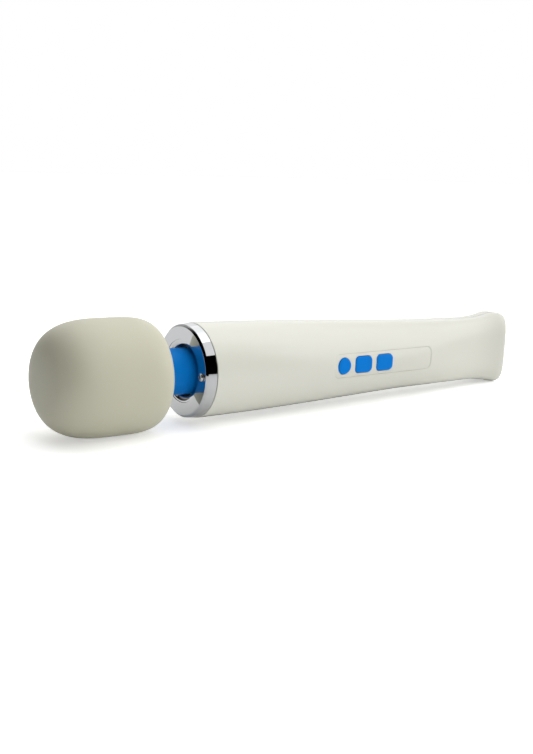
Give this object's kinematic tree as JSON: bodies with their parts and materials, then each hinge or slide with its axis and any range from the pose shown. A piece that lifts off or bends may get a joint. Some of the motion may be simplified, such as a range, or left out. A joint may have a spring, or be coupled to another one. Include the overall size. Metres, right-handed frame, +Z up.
{
  "type": "handheld wand massager",
  "caption": "Handheld wand massager: bulbous soft head on a flexible neck, chrome collar, long tapering handle with a button panel and a flared tail.",
  "frame": {"origin": "centre of the base of the bounding box, on the table that the wand lies on", "axes": "+X from the head to the tail, +Y away from the buttons, +Z up; the wand itself slopes down by 1.4 degrees from head to tail, as it rests on both"},
  "size_m": [0.3244, 0.0596, 0.0597],
  "materials": {
    "cream_silicone": "soft matte silicone, cream",
    "cream_shell": "glossy moulded plastic, cream",
    "chrome": "bright chrome plate",
    "blue_rubber": "satin moulded rubber, blue",
    "blue_key": "satin plastic, bright blue",
    "white_nylon": "plain moulded nylon",
    "steel": "turned steel",
    "brass": "turned brass",
    "copper": "varnished copper winding",
    "ferrite": "pressed ferrite",
    "black_rubber": "plain black rubber",
    "black_plastic": "black moulded plastic",
    "green_board": "green solder mask",
    "frosted_lens": "frosted clear plastic",
    "red_wire": "red wire insulation",
    "black_wire": "black wire insulation"
  },
  "bodies": {
    "handle": {"button_panel": "cream_shell", "circuit_board": "green_board", "collar": "chrome", "collar_screw_far": "steel", "collar_screw_near": "steel", "front_shell": "cream_shell", "inlet_pin": "brass", "inlet_socket": "black_plastic", "inlet_wire_black": "black_wire", "inlet_wire_red": "red_wire", "light_guide": "frosted_lens", "minus_switch": "black_plastic", "motor_bush_front": "brass", "motor_bush_rear": "brass", "motor_can": "steel", "motor_end_bell": "white_nylon", "motor_magnet_far": "ferrite", "motor_magnet_near": "ferrite", "motor_mount_front": "black_rubber", "motor_mount_rear": "black_rubber", "motor_wire_black": "black_wire", "motor_wire_red": "red_wire", "neck_plate": "white_nylon", "plus_switch": "black_plastic", "power_switch": "black_plastic", "rear_shell": "cream_shell", "shell_screw_front_lower": "steel", "shell_screw_front_upper": "steel", "shell_screw_rear_lower": "steel", "shell_screw_rear_upper": "steel", "tail_plate": "cream_shell"},
    "neck": {"neck_boot": "blue_rubber", "neck_spring": "steel"},
    "head": {"head_cover": "cream_silicone", "head_core_front": "white_nylon", "head_core_rear": "white_nylon", "front_bearing_outer_race": "steel", "rear_bearing_outer_race": "steel"},
    "weight_drive": {"head_shaft": "steel", "eccentric_weight": "brass", "front_bearing_inner_race": "steel", "rear_bearing_inner_race": "steel"},
    "rotor": {"motor_shaft": "steel", "armature": "copper", "commutator": "brass", "flexible_coupling": "black_rubber"},
    "power_key": {"power_key": "blue_key"},
    "minus_key": {"minus_key": "blue_key"},
    "plus_key": {"plus_key": "blue_key"}
  },
  "joints": [
    {"name": "neck_bend_side", "type": "hinge", "parent": "handle", "child": "neck", "pos_m": [-0.08623, 0, 0.02891], "axis": [0.0245, 0, 0.9997], "range_deg": [-8, 8], "stiffness_Nm_per_rad": 12, "deforming": ["neck_boot", "neck_spring", "flexible_coupling"]},
    {"name": "neck_bend_up", "type": "hinge", "parent": "neck", "child": "head", "pos_m": [-0.09473, 0, 0.02912], "axis": [0, 1, 0], "range_deg": [-8, 8], "stiffness_Nm_per_rad": 12, "deforming": ["neck_boot", "neck_spring", "flexible_coupling"]},
    {"name": "motor_spin", "type": "hinge", "parent": "handle", "child": "rotor", "pos_m": [-0.03924, 0, 0.02776], "axis": [0.9997, 0, -0.0245], "continuous": true},
    {"name": "weight_spin", "type": "hinge", "parent": "head", "child": "weight_drive", "pos_m": [-0.13021, 0, 0.02999], "axis": [0.9997, 0, -0.0245], "continuous": true},
    {"name": "power_key_press", "type": "slide", "parent": "handle", "child": "power_key", "axis": [0, 1, 0], "range_m": [0, 0.0006], "stiffness_N_per_m": 900, "springref_m": -0.0008},
    {"name": "minus_key_press", "type": "slide", "parent": "handle", "child": "minus_key", "axis": [0, 1, 0], "range_m": [0, 0.0006], "stiffness_N_per_m": 900, "springref_m": -0.0008},
    {"name": "plus_key_press", "type": "slide", "parent": "handle", "child": "plus_key", "axis": [0, 1, 0], "range_m": [0, 0.0006], "stiffness_N_per_m": 900, "springref_m": -0.0008}
  ],
  "couplings": [
    {"joint": "weight_spin", "follows": "motor_spin", "ratio": 1}
  ]
}
